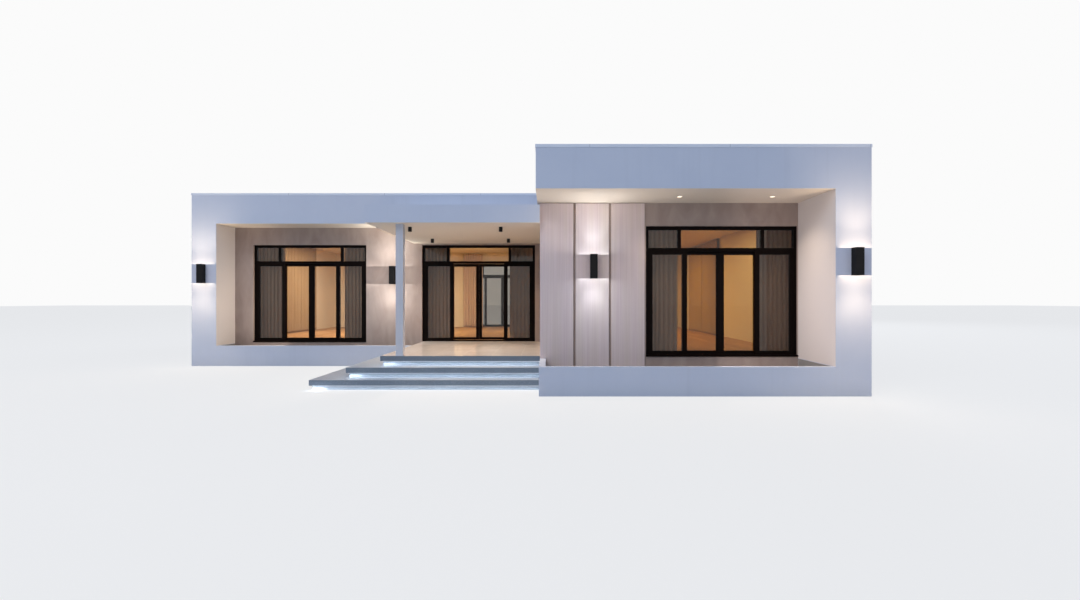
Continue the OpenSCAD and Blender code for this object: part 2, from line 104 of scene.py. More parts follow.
def put(tree, kind, inputs=None, **settings):
    """Adds a node to the tree, with its settings and with its inputs set or linked."""
    node = tree.nodes.new(kind)
    for name, value in settings.items():
        setattr(node, name, value)
    link(tree, node, inputs or {})
    return node


def new_finish(name, constants):
    """A material with one shader of these constant inputs, and the place on the piece in metres. So a
    texture's Scale is one over the size of its marks, and that of a Mapping how many fit in a metre."""
    material = bpy.data.materials.new(name)
    material.use_nodes = True
    tree = material.node_tree
    tree.nodes.clear()
    shader = put(tree, "ShaderNodeBsdfPrincipled", constants)
    put(tree, "ShaderNodeOutputMaterial", {"Surface": shader})
    place = put(tree, "ShaderNodeTexCoord").outputs["Object"]
    return material, tree, shader, place


def dress(material, *nodes):
    """Gives these CAD nodes one finish."""
    for name in nodes:
        for held in frame["nodes"][name].material_slots:
            held.material = material


def oak_boards():
    """Tight joints are drawn 4 mm wide, as fine as shows through the glass."""
    material, tree, shader, place = new_finish("oiled_oak_boards", {"IOR": 1.5})
    along = put(tree, "ShaderNodeMapping", {"Vector": place, "Rotation": (0, 0, math.radians(90))})
    boards = put(tree, "ShaderNodeTexBrick", {
        "Vector": along, "Color1": "#B98D5E", "Color2": "#9C7248", "Mortar": "#3B2A1C", "Scale": 1.0,
        "Mortar Size": 0.002, "Brick Width": 1.9, "Row Height": 0.19}, offset=0.37)
    stretched = put(tree, "ShaderNodeMapping", {"Vector": place, "Scale": (60, 2.5, 60)})
    grain = put(tree, "ShaderNodeTexNoise", {"Vector": stretched, "Scale": 1.0, "Detail": 6.0})
    veined = put(tree, "ShaderNodeMapRange", {"Value": grain, "To Min": 0.78, "To Max": 1.12})
    tone = put(tree, "ShaderNodeVectorMath", {
        0: boards.outputs["Color"], "Scale": veined}, operation="SCALE")
    gloss = put(tree, "ShaderNodeMapRange", {"Value": grain, "To Min": 0.34, "To Max": 0.52})
    relief = put(tree, "ShaderNodeBump", {"Height": grain, "Strength": 0.3, "Distance": 0.001})
    link(tree, shader, {"Base Color": tone, "Roughness": gloss, "Normal": relief})
    return material


dress(oak_boards(), "ground_floor")

# Threshold and porch floor
# Porcelain tiles, 600 mm square, pressed and polished, laid in beige grout on a granite slab.
# The eye sees pale beige squares with faint clouds and a clear reflection, and a sawn edge painted dark
# blue-grey as shade.


def facing(tree, sign, level=0.5):
    """1 where a face looks up, or down with a sign of -1, and 0 elsewhere."""
    normal = put(tree, "ShaderNodeNewGeometry").outputs["Normal"]
    upright = put(tree, "ShaderNodeSeparateXYZ", {"Vector": normal}).outputs["Z"]
    turned = put(tree, "ShaderNodeMath", {0: upright, 1: sign}, operation="MULTIPLY")
    return put(tree, "ShaderNodeMath", {0: turned, 1: level}, operation="GREATER_THAN")


def porcelain_tiles():
    """Joints of 3 mm are drawn 8 mm wide, as fine as shows from the front."""
    material, tree, shader, place = new_finish("polished_porcelain_tiles", {"IOR": 1.52})
    squares = put(tree, "ShaderNodeTexBrick", {
        "Vector": place, "Color1": "#E1D7CC", "Color2": "#DAD0C4", "Mortar": "#AA9C8E", "Scale": 1.0,
        "Mortar Size": 0.004, "Brick Width": 0.6, "Row Height": 0.6}, offset=0.0)
    cloud = put(tree, "ShaderNodeTexNoise", {"Vector": place, "Scale": 1 / 0.35, "Detail": 5.0})
    veined = put(tree, "ShaderNodeMapRange", {"Value": cloud, "To Min": 0.9, "To Max": 1.08})
    tone = put(tree, "ShaderNodeVectorMath", {
        0: squares.outputs["Color"], "Scale": veined}, operation="SCALE")
    # The upright faces are painted dark blue-grey: painted shade, darker than the lit tops.
    slab = put(tree, "ShaderNodeMix", {
        "Factor": facing(tree, 1), "A": "#66727D", "B": tone}, data_type="RGBA")
    gloss = put(tree, "ShaderNodeMapRange", {
        "Value": squares.outputs["Fac"], "To Min": 0.2, "To Max": 0.75})
    relief = put(tree, "ShaderNodeBump", {
        "Height": squares.outputs["Fac"], "Strength": 0.5, "Distance": 0.0015}, invert=True)
    link(tree, shader, {"Base Color": slab, "Roughness": gloss, "Normal": relief})
    return material


dress(porcelain_tiles(), "door_threshold", "porch_floor")

# White walls, fascias, column, canopy and planters
# Blockwork with 20 mm of cement render, floated smooth and rolled with masonry paint. Rooms have an
# emulsion on plaster and the troughs a grey sealing slurry. The walls of the recesses, and soffits and
# other faces that look down, are drawn cream: painted warm light from the lamps.
reveal = 0.084  # how far the emulsion of the rooms runs into the openings of the walls
skin = 0.005  # how far a box of paint reaches past the surface that it covers
floor_low, floor_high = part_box("ground_floor")
left_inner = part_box("left_front_wall")[1].y
right_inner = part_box("right_front_wall")[1].y
rear_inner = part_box("rear_wall")[0].y
porch_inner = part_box("porch_side_wall")[1].x
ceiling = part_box("left_roof")[0].z
rooms_high = Vector((floor_high.x + reveal, rear_inner + reveal, ceiling + skin))
rooms = [(Vector((x, y - reveal, floor_high.z - skin)), rooms_high)
         for x, y in ((floor_low.x - reveal, left_inner), (porch_inner - skin, right_inner))]
openings = {o["name"]: [Vector(c) for c in o["box_m"]] for o in frame["record"]["physics"]["openings"]}
trough_wall = 0.05
troughs, recesses = [], []
for side in ("left", "right"):
    planter_low, planter_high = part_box(side + "_planter")
    low, high = openings[side + "_planter_trough"]
    troughs.append((low - Vector((trough_wall,) * 3),
                    Vector((high.x + trough_wall, high.y + trough_wall, planter_high.z - skin))))
    recesses.append((Vector((planter_low.x - skin, planter_low.y + skin, planter_high.z + skin)),
                     Vector((planter_high.x + skin, planter_high.y, ceiling + skin))))


def within(tree, place, boxes):
    """1 inside any of these boxes and 0 outside them all."""
    found = None
    for low, high in boxes:
        off = put(tree, "ShaderNodeVectorMath", {0: place, 1: (low + high) / 2}, operation="SUBTRACT")
        away = put(tree, "ShaderNodeVectorMath", {0: off}, operation="ABSOLUTE")
        axes = put(tree, "ShaderNodeSeparateXYZ", {"Vector": away})
        inside = None
        for axis, reach in zip(axes.outputs, (high - low) / 2):
            near = put(tree, "ShaderNodeMath", {0: axis, 1: reach}, operation="LESS_THAN")
            if inside:
                near = put(tree, "ShaderNodeMath", {0: inside, 1: near}, operation="MULTIPLY")
            inside = near
        if found:
            inside = put(tree, "ShaderNodeMath", {0: found, 1: inside}, operation="MAXIMUM")
        found = inside
    return found


def clouded(tree, place, size, detail, dark, pale):
    """Clouds of about this size, and the two tones of a finish that drift into each other with them."""
    cloud = put(tree, "ShaderNodeTexNoise", {"Vector": place, "Scale": 1 / size, "Detail": detail})
    return cloud, put(tree, "ShaderNodeMix", {"Factor": cloud, "A": dark, "B": pale}, data_type="RGBA")


def painted_render(name, dark, pale):
    """Grit of 2 mm is drawn as 14 mm, the finest that shows; the trowel left waves of about 0.7 m."""
    material, tree, shader, place = new_finish(name, {"IOR": 1.46})
    cloud, paint = clouded(tree, place, 0.7, 4.0, dark, pale)
    runs = put(tree, "ShaderNodeMapping", {"Vector": place, "Scale": (7, 7, 0.3)})
    streak = put(tree, "ShaderNodeTexNoise", {"Vector": runs, "Scale": 1.0, "Detail": 3.0})
    rain = put(tree, "ShaderNodeMapRange", {
        "Value": streak, "From Min": 0.55, "From Max": 0.85, "To Max": 0.14})
    height = put(tree, "ShaderNodeSeparateXYZ", {"Vector": place}).outputs["Z"]
    splash = put(tree, "ShaderNodeMapRange", {
        "Value": height, "From Min": 0.0, "From Max": 0.3, "To Min": 0.16, "To Max": 0.0})
    # Rain streaks and splashes are dirt. The cream in the recesses and on faces that look down is painted
    # warm light from the lamps.
    for mask, coat in (
            (rain, "#AEB1B8"), (splash, "#A9A7A2"), (within(tree, place, recesses), "#DFD7CF"),
            (facing(tree, -1), "#EADCC8"), (within(tree, place, troughs), "#8E8B86"),
            (within(tree, place, rooms), "#E3D5C0")):
        paint = put(tree, "ShaderNodeMix", {"Factor": mask, "A": paint, "B": coat}, data_type="RGBA")
    grit = put(tree, "ShaderNodeTexNoise", {"Vector": place, "Scale": 1 / 0.014, "Detail": 3.0})
    waves = put(tree, "ShaderNodeBump", {"Height": cloud, "Strength": 0.35, "Distance": 0.004})
    relief = put(tree, "ShaderNodeBump", {
        "Height": grit, "Strength": 0.25, "Distance": 0.0012, "Normal": waves})
    dull = put(tree, "ShaderNodeMapRange", {"Value": grit, "To Min": 0.72, "To Max": 0.92})
    link(tree, shader, {"Base Color": paint, "Roughness": dull, "Normal": relief})
    return material


dress(painted_render("masonry_paint_on_render", "#C8CDD9", "#D3D7E0"),
      "left_wing_wall", "right_wing_wall", "left_side_wall", "right_side_wall", "rear_wall",
      "left_planter", "right_planter", "canopy", "roof_fascias", "roof_parapets")
dress(painted_render("grey_paint_on_column", "#CBCACE", "#D6D4D7"), "porch_column")

# Greige walls in the recesses
# The same blockwork with a through-coloured mineral finish, trowelled to fine broken strokes and
# left matt. The eye sees warm grey plaster with darker and lighter passes of the trowel.


def trowelled_render():
    """Passes of the trowel are 0.3 m wide and 0.7 m high. Grains of 2 mm are drawn 18 mm wide."""
    material, tree, shader, place = new_finish("trowelled_mineral_finish", {"IOR": 1.46})
    drawn = put(tree, "ShaderNodeMapping", {"Vector": place, "Scale": (3.2, 3.2, 1.4)})
    passes = put(tree, "ShaderNodeTexNoise", {
        "Vector": drawn, "Scale": 1.0, "Detail": 6.0, "Distortion": 0.8})
    spread = put(tree, "ShaderNodeMapRange", {"Value": passes, "From Min": 0.3, "From Max": 0.7})
    coat = put(tree, "ShaderNodeMix", {
        "Factor": spread, "A": "#A28F84", "B": "#B3A195"}, data_type="RGBA")
    emulsion = put(tree, "ShaderNodeMix", {
        "Factor": within(tree, place, rooms), "A": coat, "B": "#E3D5C0"}, data_type="RGBA")
    grains = put(tree, "ShaderNodeTexNoise", {"Vector": place, "Scale": 1 / 0.018, "Detail": 4.0})
    strokes = put(tree, "ShaderNodeBump", {"Height": passes, "Strength": 0.4, "Distance": 0.004})
    relief = put(tree, "ShaderNodeBump", {
        "Height": grains, "Strength": 0.35, "Distance": 0.0015, "Normal": strokes})
    link(tree, shader, {"Base Color": emulsion, "Roughness": 0.86, "Normal": relief})
    return material


dress(trowelled_render(), "left_front_wall", "door_lintel", "door_side_pier", "porch_side_wall",
      "right_front_wall")

# Cladding panels
# Three 40 mm fibre-cement panels on rails, with open joints between them. Their face is brushed
# upright before the matt lacquer, which leaves fine streaks of lilac and sand on greige.


def brushed_panels():
    """The 3 mm brush lines are drawn 25 mm wide, as fine as shows from the front."""
    material, tree, shader, place = new_finish("brushed_fibre_cement", {"IOR": 1.48})
    upright = put(tree, "ShaderNodeMapping", {"Vector": place, "Scale": (40, 40, 0.5)})
    lines = put(tree, "ShaderNodeTexNoise", {"Vector": upright, "Scale": 1.0, "Detail": 5.0})
    spread = put(tree, "ShaderNodeMapRange", {"Value": lines, "From Min": 0.3, "From Max": 0.7})
    tone = put(tree, "ShaderNodeMix", {
        "Factor": spread, "A": "#D8C2BD", "B": "#E5D2CD"}, data_type="RGBA")
    wide = put(tree, "ShaderNodeMapping", {"Vector": place, "Scale": (6, 6, 0.25)})
    bands = put(tree, "ShaderNodeTexNoise", {"Vector": wide, "Scale": 1.0, "Detail": 2.0})
    sandy = put(tree, "ShaderNodeMapRange", {
        "Value": bands, "From Min": 0.4, "From Max": 0.7, "To Max": 0.5})
    face = put(tree, "ShaderNodeMix", {"Factor": sandy, "A": tone, "B": "#DCCCBA"}, data_type="RGBA")
    relief = put(tree, "ShaderNodeBump", {"Height": lines, "Strength": 0.35, "Distance": 0.001})
    dull = put(tree, "ShaderNodeMapRange", {"Value": lines, "To Min": 0.5, "To Max": 0.72})
    link(tree, shader, {"Base Color": face, "Roughness": dull, "Normal": relief})
    return material


dress(brushed_panels(), "cladding_panels")

# Steps and risers
# Slabs of honed blue-grey granite on recessed risers of the same stone. The treads are pale. The upright
# faces are drawn in tones of painted light: dark as shade on the slabs, and pale as the glow of the
# diodes on the risers. Mica and feldspar show as fine speckle.


def honed_granite(name, side_painted_light, side_painted_light_pale):
    """Grains of 4 mm are drawn as 7 mm. The two tones given are those of the upright faces, which carry
    painted shade on the slabs and painted light on the risers.
    """
    material, tree, shader, place = new_finish(name, {"IOR": 1.54})
    cloud, tread = clouded(tree, place, 0.5, 5.0, "#A9B3BB", "#C0C8CE")
    edge = put(tree, "ShaderNodeMix", {"Factor": cloud, "A": side_painted_light, "B": side_painted_light_pale}, data_type="RGBA")
    body = put(tree, "ShaderNodeMix", {
        "Factor": facing(tree, 1), "A": edge, "B": tread}, data_type="RGBA")
    grains = put(tree, "ShaderNodeTexVoronoi", {"Vector": place, "Scale": 1 / 0.007})
    shade = put(tree, "ShaderNodeSeparateColor", {"Color": grains.outputs["Color"]}).outputs["Red"]
    mica = put(tree, "ShaderNodeMapRange", {
        "Value": shade, "From Min": 0.8, "From Max": 1.0, "To Max": 0.34})
    pale = put(tree, "ShaderNodeMapRange", {
        "Value": shade, "From Min": 0.2, "From Max": 0.0, "To Max": 0.26})
    for mask, speck in ((mica, "#4C555E"), (pale, "#D5DADE")):
        body = put(tree, "ShaderNodeMix", {"Factor": mask, "A": body, "B": speck}, data_type="RGBA")
    gloss = put(tree, "ShaderNodeMapRange", {"Value": cloud, "To Min": 0.32, "To Max": 0.5})
    relief = put(tree, "ShaderNodeBump", {"Height": shade, "Strength": 0.12, "Distance": 0.0005})
    link(tree, shader, {"Base Color": body, "Roughness": gloss, "Normal": relief})
    return material


# The upright faces of the slabs are painted dark: painted shade.
dress(honed_granite("honed_blue_granite", "#66737F", "#7B8893"), "middle_step", "lower_step")
# The upright faces of the risers are painted pale: painted light from the diodes under the nosings.
dress(honed_granite("riser_granite_painted_lit", "#A7B1B9", "#BCC5CC"), "step_risers")

# Step lights
# Strips of white diodes in an aluminium channel under each nosing, behind an opal cover.
# They are lit: the cover shines an even cool white.
diode_gap = 0.05
uneven_glow = 0.15


def lit_cover(name, glow, strength):
    """Opal acrylic, cast and frosted, lit from behind; it is a little brighter where a diode sits."""
    material, tree, shader, place = new_finish(name, {
        "IOR": 1.49, "Roughness": 0.35, "Base Color": "#F2F3F4"})
    diodes = put(tree, "ShaderNodeTexNoise", {"Vector": place, "Scale": 1 / diode_gap, "Detail": 1.0})
    power = put(tree, "ShaderNodeMapRange", {
        "Value": diodes, "To Min": strength * (1 - uneven_glow), "To Max": strength * (1 + uneven_glow)})
    link(tree, shader, {"Emission Color": glow, "Emission Strength": power})
    return material


dress(lit_cover("opal_cover_cool", "#EAF2FF", 0.35), "step_lights")

# Roof slabs and membrane
# Concrete slabs that reach forward over the recesses as eaves. Their underside has ceiling paint, drawn
# cream outside the rooms as painted warm light from the lamps, and their top a grey sheet membrane,
# welded in sheets a metre wide with a lap at each edge.


def roof_slab():
    material, tree, shader, place = new_finish("sheet_membrane_and_soffit_with_painted_warm_light", {"IOR": 1.48})
    cloud, sheet = clouded(tree, place, 1.4, 5.0, "#9A9DA0", "#B4B6B8")
    puddle = put(tree, "ShaderNodeMapRange", {
        "Value": cloud, "From Min": 0.5, "From Max": 0.72, "To Max": 0.5})
    stained = put(tree, "ShaderNodeMix", {
        "Factor": puddle, "A": sheet, "B": "#8D8A82"}, data_type="RGBA")
    face = put(tree, "ShaderNodeMix", {
        "Factor": facing(tree, 1), "A": "#CED2DC", "B": stained}, data_type="RGBA")
    # Faces that look down are drawn cream: painted warm light from the lamps. The ceilings of the rooms
    # have a warm emulsion.
    for mask, coat in ((facing(tree, -1), "#EADCC8"), (within(tree, place, rooms), "#EBDFCD")):
        face = put(tree, "ShaderNodeMix", {"Factor": mask, "A": face, "B": coat}, data_type="RGBA")
    grit = put(tree, "ShaderNodeTexNoise", {"Vector": place, "Scale": 1 / 0.02, "Detail": 3.0})
    relief = put(tree, "ShaderNodeBump", {"Height": grit, "Strength": 0.25, "Distance": 0.001})
    dull = put(tree, "ShaderNodeMapRange", {"Value": cloud, "To Min": 0.6, "To Max": 0.85})
    link(tree, shader, {"Base Color": face, "Roughness": dull, "Normal": relief})
    return material


def welded_lap():
    """The lap of the membrane: the same sheet, a little darker from the hot-air weld."""
    material, tree, shader, place = new_finish("welded_membrane_lap", {"IOR": 1.48, "Roughness": 0.55})
    smear, tone = clouded(tree, place, 0.12, 4.0, "#84888B", "#9DA0A2")
    relief = put(tree, "ShaderNodeBump", {"Height": smear, "Strength": 0.3, "Distance": 0.002})
    link(tree, shader, {"Base Color": tone, "Normal": relief})
    return material


def edges_mesh(name, runs, closed=False):
    """A mesh of edges along each run of points, and back to its first point where it is closed."""
    mesh = bpy.data.meshes.new(name)
    points, edges = [], []
    for run in runs:
        first = len(points)
        points += [tuple(p) for p in run]
        edges += [(first + i, first + i + 1) for i in range(len(run) - 1)]
        if closed:
            edges.append((len(points) - 1, first))
    mesh.from_pydata(points, edges, [])
    return mesh


def growth_tree(name, sizes):
    """A Geometry Nodes tree, its named input for each size, and the route along the mesh's edges."""
    tree = bpy.data.node_groups.new(name, "GeometryNodeTree")
    tree.interface.new_socket("Geometry", in_out="INPUT", socket_type="NodeSocketGeometry")
    kinds = {int: "NodeSocketInt", float: "NodeSocketFloat", tuple: "NodeSocketVector"}
    for label, value in sizes.items():
        tree.interface.new_socket(label, in_out="INPUT", socket_type=kinds[type(value)])
    tree.interface.new_socket("Geometry", in_out="OUTPUT", socket_type="NodeSocketGeometry")
    given = put(tree, "NodeGroupInput").outputs
    return tree, given, put(tree, "GeometryNodeMeshToCurve", {"Mesh": given["Geometry"]})


def baked(piece):
    """The plain mesh that a piece's modifiers give it now."""
    seen = piece.evaluated_get(bpy.context.evaluated_depsgraph_get())
    return bpy.data.meshes.new_from_object(seen)


def grow(tree, grown, mesh, sizes, material):
    """Ends a tree with real faces of one material, runs it on a mesh, and keeps the plain result."""
    real = put(tree, "GeometryNodeRealizeInstances", {"Geometry": grown})
    faced = put(tree, "GeometryNodeSetMaterial", {"Geometry": real, "Material": material})
    put(tree, "NodeGroupOutput", {"Geometry": faced})
    piece = stand(mesh.name, mesh)
    modifier = piece.modifiers.new("grow", "NODES")
    modifier.node_group = tree
    for socket in tree.interface.items_tree:
        if socket.name in sizes:
            modifier[socket.identifier] = sizes[socket.name]
    piece.data = baked(piece)
    piece.modifiers.remove(modifier)
    return piece


def row_of_blocks(name, lines, spacing, size, material):
    """Blocks of one size at equal spacing along lines, turned to follow them."""
    sizes = {"Spacing": spacing, "Block size": size}
    tree, given, route = growth_tree(name, sizes)
    spots = put(tree, "GeometryNodeResampleCurve", {
        "Curve": route, "Length": given["Spacing"]}, mode="LENGTH")
    block = put(tree, "GeometryNodeMeshCube", {"Size": given["Block size"]})
    along = put(tree, "GeometryNodeInputTangent")
    turned = put(tree, "FunctionNodeAlignRotationToVector", {"Vector": along}, axis="X")
    row = put(tree, "GeometryNodeInstanceOnPoints", {
        "Points": spots, "Instance": block, "Rotation": turned})
    return grow(tree, row, edges_mesh(name, lines), sizes, material)


def keep(piece, body):
    """A finished piece moves with its body."""
    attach(piece, body)
    return piece


dress(roof_slab(), "left_roof", "right_roof")
lap_w = 0.08
lap_t = 0.003
sheet_w = 1.0
deck_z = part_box("left_roof")[1].z
lap_finish = welded_lap()
for side in ("left", "right"):
    low, high = openings["roof_well_" + side]
    lap_size = (lap_w, high.y - low.y, lap_t)
    route = [Vector((x, (low.y + high.y) / 2, deck_z + lap_t / 2))
             for x in (low.x + sheet_w / 2, high.x - lap_w)]
    keep(row_of_blocks(side + "_roof_laps", [route], sheet_w, lap_size, lap_finish), "house")

# Copings
# Channels of 2 mm aluminium, folded over the parapets and powder-coated satin white, in lengths of
# 2.5 m. The joint between two lengths shows as a fine dark line.


def white_powder_coat():
    material, tree, shader, place = new_finish("white_powder_coated_aluminium", {
        "IOR": 1.5, "Roughness": 0.42})
    _, coat = clouded(tree, place, 0.9, 3.0, "#D9DDE6", "#E6E9EF")
    joints = put(tree, "ShaderNodeTexBrick", {
        "Vector": place, "Color1": "#000000", "Color2": "#000000", "Mortar": "#FFFFFF", "Scale": 1.0,
        "Mortar Size": 0.004, "Mortar Smooth": 0.0, "Brick Width": 2.5, "Row Height": 2.5}, offset=0.0)
    lined = put(tree, "ShaderNodeMix", {
        "Factor": joints.outputs["Fac"], "A": coat, "B": "#B4B8BF"}, data_type="RGBA")
    peel = put(tree, "ShaderNodeTexNoise", {"Vector": place, "Scale": 1 / 0.006, "Detail": 2.0})
    relief = put(tree, "ShaderNodeBump", {"Height": peel, "Strength": 0.08, "Distance": 0.0004})
    link(tree, shader, {"Base Color": lined, "Normal": relief})
    return material


dress(white_powder_coat(), "copings")

# Window and door frames, leaves and sills
# Extruded aluminium with a matt powder coat in near-black bronze, mitred and screwed at the
# corners. The coat has a fine orange peel and next to no gloss.


def powder_coat(name, specular, cloud_size, dark, pale, least_rough, peel_size, peel):
    """A matt coat, baked on aluminium, with soft clouds in its tone and a fine orange peel."""
    material, tree, shader, place = new_finish(name, {"IOR": 1.5, "Specular IOR Level": specular})
    cloud, coat = clouded(tree, place, cloud_size, 4.0, dark, pale)
    dull = put(tree, "ShaderNodeMapRange", {"Value": cloud, "To Min": least_rough, "To Max": 0.6})
    bumps = put(tree, "ShaderNodeTexNoise", {"Vector": place, "Scale": 1 / peel_size, "Detail": 2.0})
    relief = put(tree, "ShaderNodeBump", {"Height": bumps, "Strength": peel, "Distance": 0.0003})
    link(tree, shader, {"Base Color": coat, "Roughness": dull, "Normal": relief})
    return material


bronze = powder_coat("dark_bronze_powder_coat", specular=0.05, cloud_size=0.4, dark="#0A0504",
                     pale="#120C0A", least_rough=0.46, peel_size=0.004, peel=0.12)
dress(bronze, "left_window_frame", "right_window_frame", "rear_window_frames", "side_window_frames",
      "window_sills", "door_frame", "left_door_leaf", "right_door_leaf")

# Glass
# Sealed units of float glass with a light grey-brown tint in the body, polished flat.
# Lamps shine through it: for shadow rays it is clear with the same tint.


def resurface(tree, shader):
    """Makes this shader the material's surface, in the place of its first one."""
    end = next(n for n in tree.nodes if n.type == "OUTPUT_MATERIAL")
    link(tree, end, {"Surface": shader})


def tinted_glass():
    material, tree, shader, place = new_finish("tinted_float_glass", {
        "IOR": 1.4, "Roughness": 0.0, "Transmission Weight": 1.0})
    _, body = clouded(tree, place, 0.8, 1.0, "#BAB6B0", "#C1BEB8")
    link(tree, shader, {"Base Color": body})
    clear = put(tree, "ShaderNodeBsdfTransparent", {"Color": "#BEBBB5"})
    shadow = put(tree, "ShaderNodeLightPath").outputs["Is Shadow Ray"]
    resurface(tree, put(tree, "ShaderNodeMixShader", {0: shadow, 1: shader, 2: clear}))
    return material


dress(tinted_glass(), "window_glass", "door_glass", "left_leaf_glass", "right_leaf_glass")

# Glazing gaskets
# Black rubber extrusions pressed between each pane and its sash, inside and out, all round.
# They follow the edge of the pane, so one tree sweeps the profile along every pane's edge.


def solid_boxes(node):
    """The lowest and highest corner of each separate solid in a CAD node."""
    bm = bmesh.new()
    bm.from_mesh(frame["nodes"][node].data)
    bmesh.ops.remove_doubles(bm, verts=bm.verts, dist=1e-5)
    waiting, boxes = set(bm.verts), []
    while waiting:
        reached = [waiting.pop()]
        for vert in reached:
            for edge in vert.link_edges:
                other = edge.other_vert(vert)
                if other in waiting:
                    waiting.remove(other)
                    reached.append(other)
        places = [v.co for v in reached]
        boxes.append((Vector([min(c) for c in zip(*places)]), Vector([max(c) for c in zip(*places)])))
    bm.free()
    return sorted(boxes, key=lambda b: [round(c, 3) for c in b[0]])


def rubber():
    material, tree, shader, place = new_finish("black_rubber_gasket", {"IOR": 1.5})
    dust, tone = clouded(tree, place, 0.05, 4.0, "#0E0E0E", "#1E1D1C")
    dull = put(tree, "ShaderNodeMapRange", {"Value": dust, "To Min": 0.55, "To Max": 0.8})
    link(tree, shader, {"Base Color": tone, "Roughness": dull})
    return material


grip = 0.0117  # a sash holds its pane 12 mm deep, and the gasket laps the sash by a hair
gasket_t = 0.007


def pane_edges(boxes):
    """The edges of every pane's visible opening, on both of its faces."""
    lines = []
    for low, high in boxes:
        thin = min(range(3), key=lambda axis: high[axis] - low[axis])
        wide = 1 - thin
        inset = grip + gasket_t / 2
        for face in (low[thin] - gasket_t / 2, high[thin] + gasket_t / 2):
            corners = []
            for across, up in ((low, low), (high, low), (high, high), (low, high)):
                corner = Vector((0, 0, 0))
                corner[thin] = face
                corner[wide] = across[wide] + (inset if across is low else -inset)
                corner.z = up.z + (inset if up is low else -inset)
                corners.append(corner)
            lines.append(corners)
    return lines


def gaskets(name, nodes, body, material):
    sizes = {"Profile": gasket_t}
    tree, given, route = growth_tree(name, sizes)
    profile = put(tree, "GeometryNodeCurvePrimitiveQuadrilateral", {
        "Width": given["Profile"], "Height": given["Profile"]})
    swept = put(tree, "GeometryNodeCurveToMesh", {"Curve": route, "Profile Curve": profile})
    rims = pane_edges([box for node in nodes for box in solid_boxes(node)])
    seals = grow(tree, swept, edges_mesh(name, rims, closed=True), sizes, material)
    return keep(seals, body)


gasket_finish = rubber()
gaskets("house_gaskets", ["window_glass", "door_glass"], "house", gasket_finish)
gaskets("left_leaf_gaskets", ["left_leaf_glass"], "left_leaf", gasket_finish)
gaskets("right_leaf_gaskets", ["right_leaf_glass"], "right_leaf", gasket_finish)

# Curtain tracks
# White aluminium rails screwed to the ceiling, one for each pair of curtains, with a plastic glider
# for each fold. The gliders stand at equal distances where the curtain hangs.
fold_w = 0.103
rail_h = 0.016
rail_w = 0.022
glider_h = 0.012
glider_size = (0.009, 0.012, glider_h)
curtain_boxes = {
    node: solid_boxes(node) for node in ("front_curtains", "rear_curtains", "side_curtains")}


def satin_white():
    """Baked lacquer on aluminium: an even white with a soft gloss."""
    material, tree, shader, place = new_finish("lacquered_white_rail", {"IOR": 1.5})
    cloud, tone = clouded(tree, place, 0.3, 3.0, "#DEDAD2", "#E8E5DE")
    gloss = put(tree, "ShaderNodeMapRange", {"Value": cloud, "To Min": 0.3, "To Max": 0.45})
    link(tree, shader, {"Base Color": tone, "Roughness": gloss})
    return material


def middle_line(box, z):
    """The line along the middle of a curtain's box at height z."""
    low, high = box
    ends = [low.copy(), high.copy()]
    thin = 0 if high.x - low.x < high.y - low.y else 1
    for end in ends:
        end[thin] = (low[thin] + high[thin]) / 2
        end.z = z
    return ends


white_finish = satin_white()
ceiling_z = curtain_boxes["front_curtains"][0][1].z
rails, glides = [], []
for boxes in curtain_boxes.values():
    lines = [middle_line(box, ceiling_z - rail_h / 2) for box in boxes]
    rails += [(first[0], second[1]) for first, second in zip(lines[::2], lines[1::2])]
    for left, right in lines:
        ahead = (right - left).normalized() * fold_w / 2
        drop = Vector((0, 0, -(rail_h + glider_h) / 2))
        glides.append((left + ahead + drop, right - ahead + drop))


def curtain_rails():
    sizes = {"Rail width": rail_w, "Rail height": rail_h}
    tree, given, route = growth_tree("curtain_rails", sizes)
    upright = put(tree, "GeometryNodeSetCurveNormal", {"Curve": route}, mode="Z_UP")
    profile = put(tree, "GeometryNodeCurvePrimitiveQuadrilateral", {
        "Width": given["Rail width"], "Height": given["Rail height"]})
    rounded = put(tree, "GeometryNodeFilletCurve", {
        "Curve": profile, "Radius": 0.002, "Count": 2}, mode="POLY")
    swept = put(tree, "GeometryNodeCurveToMesh", {
        "Curve": upright, "Profile Curve": rounded, "Fill Caps": True})
    return grow(tree, swept, edges_mesh("curtain_rails", rails), sizes, white_finish)


rail_piece = keep(curtain_rails(), "house")
keep(row_of_blocks("curtain_gliders", glides, fold_w, glider_size, white_finish), "house")

# Curtains
# Lined sateen at the front and the rear, and sand linen at the sides. Each is cut a little over twice
# as wide as it hangs, taped and pleated at the top, hooked to its gliders, and falls free to the floor.
heading_drop = rail_h + glider_h
fold_depth = 0.038
uneven_depth = 0.14  # share of a fold's depth that differs from fold to fold
flare = 0.12  # how much deeper a fold is at the hem
overhang = 0.16  # how far the sides of a fold lean over, as a share of its width
wander = 0.5  # how far the folds drift aside on their way down, in radians of a fold
sway = 0.012
rows = 40
columns_per_fold = 13
steps_per_fold = 40
hooked_rows = 2
settling_steps = 24
first_seed = 1.3
cloth_t = 0.0012
hem_h = 0.1
hem_shade = 0.3


def fold_point(across, down, folds, width, seed):
    """Where a point of the gathered cloth starts: across and down run from 0 to 1. The waves that bend
    its folds keep odd rates, so that no two folds are alike."""
    swing = math.sin(2.1 * down + seed)
    swing += 0.6 * math.sin(5.3 * across * folds / 3 + 3.1 * down + seed * 2)
    phase = 2 * math.pi * folds * across + wander * down * swing
    depth = fold_depth * (1 - uneven_depth + uneven_depth * math.sin(9.7 * across + seed) + flare * down)
    x = width * (across - 0.5) - overhang * width / folds * math.sin(2 * phase) * (1 - 0.25 * down)
    x += sway * down * math.sin(3.3 * across + 1.7 * seed) * math.sin(math.pi * across)
    return x, depth * math.sin(phase)


